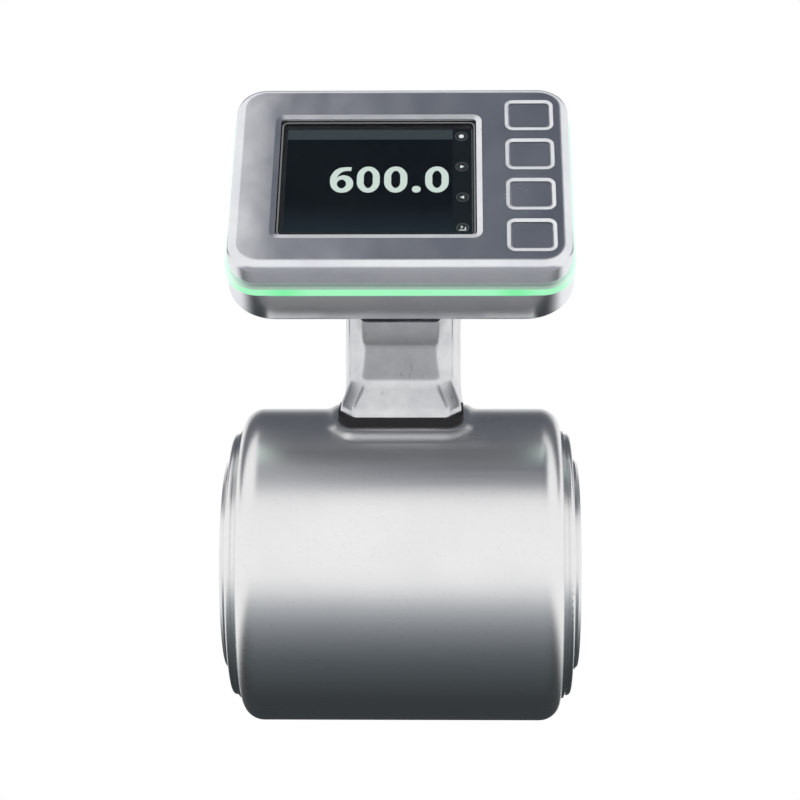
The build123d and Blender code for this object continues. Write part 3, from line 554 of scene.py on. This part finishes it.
def makeCasing(look=casingLook):
    low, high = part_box("body_casing")
    radius = -low[1] / millimetre
    end = look["straight"]
    bend = look["edgeRadius"]
    wall = look["wall"]
    inner = radius - bend - look["endLip"]
    outline = [(-end - bend, inner)] + arc(-end, radius - bend, bend, -90, 0, 10)
    outline += [(-end + 2 * end * step / 86, radius) for step in range(1, 86)]
    outline += arc(end, radius - bend, bend, 0, 90, 10)
    outline += [(end + bend, inner), (end + bend - wall, inner)]
    outline += arc(end, radius - bend, bend - wall, 90, 0, 6)
    outline += arc(-end, radius - bend, bend - wall, 0, -90, 6)
    outline += [(-end - bend + wall, inner)]
    work = bmesh.new()
    loop = [work.verts.new(Vector((x, 0, r)) * millimetre) for x, r in outline]
    rims = [work.edges.new((loop[index - 1], loop[index])) for index in range(len(loop))]
    bmesh.ops.spin(
        work, geom=loop + rims, cent=(0, 0, 0), axis=(1, 0, 0), dvec=(0, 0, 0),
        angle=2 * math.pi, steps=look["steps"], use_merge=True,
    )
    for vert in work.verts:
        x, y, z = vert.co / millimetre
        reach = math.hypot(y, z)
        if z > 0 and reach > radius - 0.3:
            lift = look["seatHeight"] * (1 - smoothShare(seatDistance(x, y, look), *look["seatRun"]))
            vert.co.y *= (reach + lift) / reach
            vert.co.z *= (reach + lift) / reach
    bmesh.ops.recalc_face_normals(work, faces=work.faces)
    mesh = meshFrom(work, "casing_shell")
    mesh.polygons.foreach_set("use_smooth", [True] * len(mesh.polygons))
    mesh.set_sharp_from_angle(angle=math.radians(40))
    piece = addPiece("casing_shell", mesh, looks["casing"])
    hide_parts("body_casing")
    return piece


def inHead(x, y, depth):
    return headMatrix() @ Matrix.Translation(Vector((x, y, -depth)) * millimetre)


def makePicture(look=screenLook):
    work = bmesh.new()
    width = look["right"] - look["left"]
    height = look["top"] - look["bottom"]
    bmesh.ops.create_cube(work, size=1.0)
    bmesh.ops.scale(work, vec=(width * millimetre, height * millimetre, 0.00003), verts=work.verts)
    x = (look["left"] + look["right"]) / 2
    y = (look["bottom"] + look["top"]) / 2
    place = inHead(x, y, look["depth"])
    name = "screen_picture"
    return addPiece(name, meshFrom(work, name), litPicture("lit_picture"), place=place)


# thin flat lips round the window, grey lines painted as the highlights along the glass edge and along the
# frame behind it
trimLook = {
    "middle": (-7.2, -0.6),
    "lips": (
        {
            "name": "glass_edge_highlight", "size": (59.9, 47.7), "corner": 1.9,
            "width": 0.45, "depth": 1.40, "light": 0.30,
        },
        {
            "name": "frame_edge_highlight", "size": (58.4, 45.6), "corner": 1.5,
            "width": 0.40, "depth": 2.74, "light": 0.16,
        },
    ),
}


def makeTrim(look=trimLook):
    for lip in look["lips"]:
        work = bmesh.new()
        bmesh.ops.create_grid(work, x_segments=1, y_segments=1, size=0.5)
        width, height = [length * millimetre for length in lip["size"]]
        bmesh.ops.scale(work, vec=(width, height, 1), verts=work.verts)
        bmesh.ops.bevel(
            work, geom=work.verts[:], offset=lip["corner"] * millimetre, segments=8,
            affect="VERTICES", profile=0.5, material=-1,
        )
        middle = work.faces[:]
        bmesh.ops.inset_region(
            work, faces=middle, thickness=lip["width"] * millimetre,
            use_boundary=True, use_even_offset=True,
        )
        bmesh.ops.delete(work, geom=middle, context="FACES")
        bmesh.ops.solidify(work, geom=work.faces[:], thickness=-0.04 * millimetre)
        bmesh.ops.recalc_face_normals(work, faces=work.faces)
        x, y = look["middle"]
        # each lip's grey is a painted highlight along its edge
        dark = lip["light"] * 0.7
        finish = plainPlastic(lip["name"], (dark, dark, dark, 1), [lip["light"]] * 3 + [1], 0.4)
        place = inHead(x, y, lip["depth"])
        addPiece(lip["name"], meshFrom(work, lip["name"]), finish, place=place)


# the neck: flared foot, waisted panel between bevelled front corners, a joint line down each side
neckLook = {
    "front": -24.5,
    "back": 24.5,
    "waist": 4.6,
    "waistHeight": 56.8,
    "waistBlend": 0.9,
    "flareTop": 57.5,
    "flareBottom": 46.3,
    "leanTop": 77.0,
    "panel": (11.15, 14.6),
    "corner": (15.6, 18.7),
    "rear": (18.7, 19.4),
    "cornerDepth": 4.5,
    "jointDepth": 0.55,
    "jointRun": (0.22, 0.55),
    "shoulder": 0.45,
    "footArc": (64.63, -14.03),
    "footTuck": (0.5, 1.9),
    "backBend": 74.0,
    "backLean": 18.6,
    "backBlend": 1.6,
    "topDepth": 24.8,
    "footLevels": (0.0, 0.6, 1.2, 1.9),
    "levels": 36,
}


def between(value, start, end):
    return min(1.0, max(0.0, (value - start) / (end - start)))


def bendCorner(before, corner, after, offset, count):
    start = corner + (before - corner).normalized() * offset
    end = corner + (after - corner).normalized() * offset
    shares = [step / count for step in range(count + 1)]
    return [start.lerp(corner, share).lerp(corner.lerp(end, share), share) for share in shares]


# half of the neck's outline at a height, from the middle of its front to the middle of its back
def neckOutline(z, rise, look):
    share = smoothShare(z, look["flareTop"], look["flareBottom"])
    rising = (z - look["flareBottom"]) / (look["waistHeight"] - look["flareBottom"])
    flare = look["waist"] * max(rising, 0)
    lean = look["waist"] * (look["leanTop"] - z) / (look["leanTop"] - look["waistHeight"])
    bend = max(look["waistBlend"] - abs(flare - lean), 0) / look["waistBlend"]
    inward = max(min(flare, lean) - bend * bend * look["waistBlend"] / 4, 0)
    tuck = look["footTuck"][0] * (1 - between(rise, 0, look["footTuck"][1]))
    spans = (look["panel"], look["corner"], look["rear"])
    panel, corner, rear = [low + (high - low) * share - tuck for low, high in spans]
    front = look["front"] + inward + tuck
    slope = math.tan(math.radians(look["backLean"]))
    over = z - look["backBend"]
    blend = look["backBlend"]
    setBack = over if over > blend else (over + blend) ** 2 / (4 * blend) if over > -blend else 0
    back = look["back"] - slope * setBack - tuck
    near, far = look["jointRun"]
    corners = [Vector(point) for point in (
        (0, front), (panel, front), (corner, front + look["cornerDepth"]),
        (corner - look["jointDepth"], front + look["cornerDepth"] + near),
        (corner + look["shoulder"], front + look["cornerDepth"] + far), (rear, back), (0, back),
    )]
    points = [corners[0].lerp(corners[1], step / 4) for step in range(4)]
    points += bendCorner(corners[0], corners[1], corners[2], 1.1, 5)
    points += bendCorner(corners[1], corners[2], corners[2] + Vector((0, 1)), 0.5, 3) + [corners[3]]
    points += bendCorner(corners[3], corners[4], corners[5], 0.3, 2)
    points += [corners[4].lerp(corners[5], step / 10) for step in range(1, 9)]
    points += bendCorner(corners[4], corners[5], corners[6], 4.4, 7)
    return points + [corners[5].lerp(corners[6], 0.5), corners[6]]


def neckPoint(index, level, look):
    radius, centre = look["footArc"]
    tilt = math.radians(headPlane["tiltDegrees"])
    across = headPlane["centre"][1] + look["topDepth"] * math.sin(tilt)
    height = headPlane["centre"][2] - look["topDepth"] * math.cos(tilt)
    z = 60.0
    rise = 10.0
    for repeat in range(12):
        point = neckOutline(z, rise, look)[index]
        low = math.sqrt(radius**2 - point.y**2) + centre
        high = height + (point.y - across) * math.tan(tilt)
        steps = look["footLevels"]
        rest = (level - len(steps) + 1) / (look["levels"] - len(steps))
        z = low + (steps[level] if level < len(steps) else steps[-1] + (high - low - steps[-1]) * rest)
        rise = z - low
    return Vector((point.x, point.y, z)) * millimetre


def makeNeck(look=neckLook):
    half = len(neckOutline(60, 10, look))
    columns = list(range(half)) + [-index for index in range(half - 2, 0, -1)]
    work = bmesh.new()
    edges = []
    for level in range(look["levels"]):
        if level == 0:
            loop = [work.verts.new((0, 0, 0)) for column in columns]
            edges = [work.edges.new((loop[index - 1], loop[index])) for index in range(len(loop))]
        else:
            made = bmesh.ops.extrude_edge_only(work, edges=edges)["geom"]
            edges = [part for part in made if isinstance(part, bmesh.types.BMEdge)]
            fresh = {part for part in made if isinstance(part, bmesh.types.BMVert)}
            loop = [next(e.other_vert(v) for e in v.link_edges if e.other_vert(v) in fresh) for v in loop]
        for column, vert in zip(columns, loop):
            place = neckPoint(abs(column), level, look)
            vert.co = Vector((place.x if column >= 0 else -place.x, place.y, place.z))
    bmesh.ops.holes_fill(work, edges=[edge for edge in work.edges if edge.is_boundary], sides=0)
    bmesh.ops.recalc_face_normals(work, faces=work.faces)
    mesh = meshFrom(work, "neck_shell")
    mesh.polygons.foreach_set("use_smooth", [True] * len(mesh.polygons))
    mesh.set_sharp_from_angle(angle=math.radians(42))
    piece = addPiece("neck_shell", mesh, looks["neck"])
    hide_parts("neck")
    return piece


# the reading: outlines in a box of 1 by 1, and each glyph's left edge and width in the head's plane
zeroOutline = {
    "outer": [
        (0.5, 1.0), (0.86, 0.87), (1.0, 0.5), (0.86, 0.13),
        (0.5, 0.0), (0.14, 0.13), (0.0, 0.5), (0.14, 0.87),
    ],
    "inner": [
        (0.5, 0.835), (0.645, 0.755), (0.695, 0.5), (0.645, 0.255),
        (0.5, 0.175), (0.355, 0.255), (0.305, 0.5), (0.355, 0.755),
    ],
}
sixOutline = {
    "outer": [
        (0.92, 0.985, 1), (0.895, 0.835, 1), (0.74, 0.842), (0.56, 0.815), (0.40, 0.72), (0.285, 0.575, 1),
        (0.42, 0.645), (0.62, 0.67), (0.88, 0.58), (1.0, 0.345), (0.875, 0.105), (0.53, 0.0), (0.17, 0.105),
        (0.0, 0.43), (0.115, 0.77), (0.36, 0.94), (0.66, 0.985),
    ],
    "inner": [
        (0.51, 0.505), (0.645, 0.445), (0.695, 0.33), (0.64, 0.225),
        (0.50, 0.165), (0.36, 0.225), (0.30, 0.34), (0.365, 0.455),
    ],
}
pointOutline = {
    "outer": [
        (0.5, 1.0), (0.87, 0.86), (1.0, 0.5), (0.87, 0.14),
        (0.5, 0.0), (0.13, 0.14), (0.0, 0.5), (0.13, 0.86),
    ],
}
readingLook = {
    "glyphs": (
        (sixOutline, -21.70, 7.1, 10.85),
        (zeroOutline, -13.5, 7.0, 10.95),
        (zeroOutline, -5.15, 7.1, 10.95),
        (pointOutline, 3.4, 2.65, 2.75),
        (zeroOutline, 7.4, 7.2, 10.95),
    ),
    "bottom": -5.70,
    "depth": 2.80,
    "colour": (0.66, 0.76, 0.69, 1),
    "strength": 1.0,
}


def glyphMesh(outline, left, bottom, width, height):
    curve = bpy.data.curves.new("glyph", "CURVE")
    curve.dimensions = "2D"
    curve.fill_mode = "FRONT"
    curve.resolution_u = 10
    for points in outline.values():
        spline = curve.splines.new("BEZIER")
        spline.bezier_points.add(len(points) - 1)
        spline.use_cyclic_u = True
        for knot, point in zip(spline.bezier_points, points):
            knot.co = (left + point[0] * width, bottom + point[1] * height, 0)
            knot.handle_left_type = knot.handle_right_type = "VECTOR" if len(point) > 2 else "AUTO"
    maker = bpy.data.objects.new("glyph", curve)
    bpy.context.scene.collection.objects.link(maker)
    bpy.context.view_layer.update()
    mesh = bpy.data.meshes.new_from_object(maker.evaluated_get(bpy.context.evaluated_depsgraph_get()))
    bpy.data.objects.remove(maker)
    mesh.transform(Matrix.Scale(millimetre, 4))
    return mesh


def makeReading(look=readingLook):
    work = bmesh.new()
    for outline, left, width, height in look["glyphs"]:
        mesh = glyphMesh(outline, left, look["bottom"], width, height)
        work.from_mesh(mesh)
        bpy.data.meshes.remove(mesh)
    finish = litMark("lit_reading", look["colour"], look["strength"])
    place = inHead(0, 0, look["depth"])
    return addPiece("screen_reading", meshFrom(work, "screen_reading"), finish, place=place)


# the key symbols in the right column, from the top: dot, right, left and return
symbolLook = {
    "places": ((18.51, 18.18), (18.6, 5.16), (18.83, -7.66), (18.8, -20.3)),
    "ringRadius": 1.95,
    "ringWidth": 0.20,
    "discRadius": 1.7,
    "dotRadius": 0.80,
    "discColour": (0.0010, 0.0020, 0.0022, 1),
    "depth": 2.80,
    "markColour": (0.80, 0.84, 0.80, 1),
    "ringColour": (0.085, 0.10, 0.10, 1),
}


def flatRing(work, x, y, radius, width, points=48):
    verts = []
    for reach in (radius, radius - width):
        made = bmesh.ops.create_circle(work, cap_ends=False, radius=reach * millimetre, segments=points)
        verts += made["verts"]
    rims = [edge for edge in work.edges if edge.verts[0] in verts and edge.verts[1] in verts]
    bmesh.ops.bridge_loops(work, edges=[edge for edge in rims if not edge.link_faces])
    bmesh.ops.translate(work, verts=verts, vec=Vector((x, y, 0)) * millimetre)


def flatDisc(work, x, y, z, radius, points):
    made = bmesh.ops.create_circle(work, cap_ends=True, radius=radius * millimetre, segments=points)
    bmesh.ops.translate(work, verts=made["verts"], vec=Vector((x, y, z)) * millimetre)


def flatPolygon(work, points):
    corners = [work.verts.new(Vector((x, y, 0)) * millimetre) for x, y in points]
    work.faces.new(corners)


def makeSymbols(look=symbolLook):
    rings = bmesh.new()
    discs = bmesh.new()
    marks = bmesh.new()
    for x, y in look["places"]:
        flatRing(rings, x, y, look["ringRadius"], look["ringWidth"])
        flatDisc(discs, x, y, -0.01, look["discRadius"], 48)
    flatDisc(marks, *look["places"][0], 0, look["dotRadius"], 32)
    for (x, y), side in zip(look["places"][1:3], (1, -1)):
        flatPolygon(marks, [(x - 0.45 * side, y + 0.68), (x - 0.45 * side, y - 0.68), (x + 0.85 * side, y)])
    x, y = look["places"][3]
    flatPolygon(marks, [(x - 1.0, y - 1.0), (x + 1.0, y - 1.0), (x + 1.0, y - 0.65), (x - 1.0, y - 0.65)])
    flatPolygon(marks, [(x + 0.65, y - 0.65), (x + 1.0, y - 0.65), (x + 1.0, y + 0.3), (x + 0.65, y + 0.3)])
    flatPolygon(marks, [(x + 0.2, y + 0.35), (x - 0.5, y + 0.95), (x - 0.5, y - 0.2)])
    layers = (
        (discs, "symbol_discs", "discColour"),
        (rings, "symbol_rings", "ringColour"),
        (marks, "symbol_marks", "markColour"),
    )
    for work, name, colour in layers:
        bmesh.ops.recalc_face_normals(work, faces=work.faces)
        finish = litMark("lit_" + name, look[colour], 1.0)
        place = inHead(0, 0, look["depth"])
        addPiece(name, meshFrom(work, name), finish, place=place)


# the pale floor, which fades out towards its rim
stageLook = {
    "floorHeight": -0.30,
    "floorRadius": 1.3,
    "floorSolid": 0.55,
    "floorColour": (0.80, 0.80, 0.79, 1),
}

# the studio round the meter: white walls, a dim patch overhead and one high up behind it;
# heights are in degrees over the horizon in front, so that 90 is overhead and 180 is behind
studioLook = {
    "walls": (1.0, 1.0, 1.0, 1),
    "overhead": {
        "from": (53, 64), "to": (96, 108),
        "left": (-0.19, -0.065), "right": (0.26, 0.45),
        "light": (0.05, 0.062, 0.095, 1),
    },
    "behind": {
        "from": (126, 138), "to": (152, 166),
        "left": (-0.55, -0.35), "right": (0.35, 0.55),
        "light": (0.09, 0.10, 0.12, 1),
    },
}


def stageMesh(name, mesh, finish):
    piece = bpy.data.objects.new(name, mesh)
    bpy.context.scene.collection.objects.link(piece)
    mesh.materials.append(finish.material)
    return piece


def makeFloor(look=stageLook):
    work = bmesh.new()
    bmesh.ops.create_circle(work, cap_ends=True, radius=look["floorRadius"], segments=128)
    bmesh.ops.translate(work, verts=work.verts, vec=(0, 0, look["floorHeight"]))
    finish = Finish("pale_floor")
    x, y, z = finish.axes()
    reach = finish.node("ShaderNodeMath", {"operation": "SQRT"}, [x * x + y * y])
    rim = finish.step(reach, look["floorSolid"], look["floorRadius"])
    grain = finish.noise(40, 3.0, 0.5)
    finish.set(
        Base_Color=finish.blend(grain * 0.2, look["floorColour"], (0.74, 0.74, 0.73, 1)),
        Roughness=0.8,
        Alpha=1.0 - rim,
    )
    return stageMesh("floor", meshFrom(work, "floor"), finish)


# a card below that only the metal sees: white in front and at the sides, dark under the meter
underCardLook = {
    "width": 3.0,
    "front": -0.95,
    "back": 0.6,
    "height": -0.16,
    "sides": (0.20, 0.45),
    "fade": (
        (0.0, (1.0, 1.0, 1.0, 1)),
        (0.26, (0.84, 0.85, 0.86, 1)),
        (0.35, (0.56, 0.58, 0.60, 1)),
        (0.43, (0.36, 0.385, 0.41, 1)),
        (0.49, (0.21, 0.23, 0.25, 1)),
        (0.55, (0.085, 0.10, 0.11, 1)),
        (0.62, (0.035, 0.042, 0.046, 1)),
        (1.0, (0.032, 0.038, 0.042, 1)),
    ),
}


def makeCard(name, look):
    work = bmesh.new()
    bmesh.ops.create_grid(work, x_segments=1, y_segments=1, size=0.5)
    length = look["back"] - look["front"]
    finish = Finish(name)
    if "under" in look:
        # under the head: it spans the head's depth, a hair below its lower side
        bmesh.ops.scale(work, vec=(look["width"], length * millimetre, 1), verts=work.verts)
        place = inHead(0, look["under"], look["front"] + length / 2)
        place = place @ Matrix.Rotation(math.radians(-90), 4, "X")
        bmesh.ops.transform(work, matrix=place, verts=work.verts)
        nearest = min(vert.co.y for vert in work.verts)
        slope = math.sin(math.radians(headPlane["tiltDegrees"]))
        along = (finish.axes()[1] - nearest) / (length * millimetre * slope)
    else:
        bmesh.ops.scale(work, vec=(look["width"], length, 1), verts=work.verts)
        bmesh.ops.translate(work, verts=work.verts, vec=(0, look["front"] + length / 2, look["height"]))
        along = (finish.axes()[1] - look["front"]) / length
    light = finish.node("ShaderNodeValToRGB", {"stops": look["fade"]}, [along])
    if "sides" in look:
        aside = finish.node("ShaderNodeMath", {"operation": "ABSOLUTE"}, [finish.axes()[0]])
        light = finish.blend(finish.step(aside, *look["sides"]), light, (1.0, 1.0, 1.0, 1))
    finish.set(Base_Color=(0, 0, 0, 1), Roughness=1.0, Emission_Color=light, Emission_Strength=1.0)
    finish.shader.inputs["Specular IOR Level"].default_value = 0.0
    if "below" in look:
        fromBehind = finish.node("ShaderNodeNewGeometry", output=6)
        finish.set(Alpha=fromBehind if look["below"] else 1.0 - fromBehind)
    card = stageMesh(name, meshFrom(work, name), finish)
    card.visible_camera = False
    card.visible_diffuse = False
    card.visible_shadow = False
    return card


# dim flags that only the metal sees, each from one side: for the body's top, for the head's
# underside, for the neck's front, and one behind the head for the crown of the body
flagLooks = {
    "body_flag": {
        "width": 0.086, "front": 0.5, "back": 23.5, "under": -39.4, "below": True,
        "fade": ((0.0, (0.11, 0.115, 0.125, 1)), (1.0, (0.09, 0.095, 0.105, 1))),
    },
    "head_flag": {
        "width": 0.16, "front": -0.085, "back": -0.0255, "height": 0.0665, "below": False,
        "fade": (
            (0.0, (0.40, 0.41, 0.43, 1)),
            (0.84, (0.36, 0.37, 0.39, 1)),
            (0.93, (0.23, 0.23, 0.232, 1)),
            (0.965, (0.22, 0.22, 0.22, 1)),
            (1.0, (0.03, 0.03, 0.03, 1)),
        ),
    },
    "neck_flag": {
        "width": 0.05, "front": -0.085, "back": -0.0205, "height": 0.0563, "below": False,
        "fade": ((0.0, (0.40, 0.41, 0.42, 1)), (1.0, (0.44, 0.45, 0.46, 1))),
    },
    "back_flag": {
        "width": 0.5, "front": 0.004, "back": 0.13, "height": 0.105, "below": True,
        "fade": ((0.0, (0.09, 0.10, 0.12, 1)), (0.8, (0.10, 0.11, 0.13, 1)), (1.0, (0.2, 0.21, 0.23, 1))),
    },
}


def makeWorld(look=studioLook):
    world = bpy.data.worlds.new("studio")
    world.use_nodes = True
    kit = NodeKit(world.node_tree)
    x, y, z = kit.axes(kit.node("ShaderNodeTexCoord", output="Generated"))
    height = kit.node("ShaderNodeMath", {"operation": "ARCTAN2"}, [z, 0.0 - y]) * (180 / math.pi)
    colour = look["walls"]
    for name in ("overhead", "behind"):
        part = look[name]
        inside = kit.step(height, *part["from"]) * (1.0 - kit.step(height, *part["to"]))
        inside = inside * kit.step(x, *part["left"]) * (1.0 - kit.step(x, *part["right"]))
        colour = kit.blend(inside, colour, part["light"])
    kit.feed(kit.tree.nodes["Background"].inputs["Color"], colour)
    bpy.context.scene.world = world


makeCamera(cameraView)
bpy.context.scene.view_settings.view_transform = "Standard"
makeWorld()
makeFloor()
makeCard("under_card", underCardLook)
for flag, look in flagLooks.items():
    makeCard(flag, look)
print("stage set")
dressFrame()
print("frame dressed")
makeCasing()
print("casing swelled to its seat")
makeNeck()
print("neck built")
makeTrim()
makePicture()
makeReading()
makeSymbols()
print("display filled")
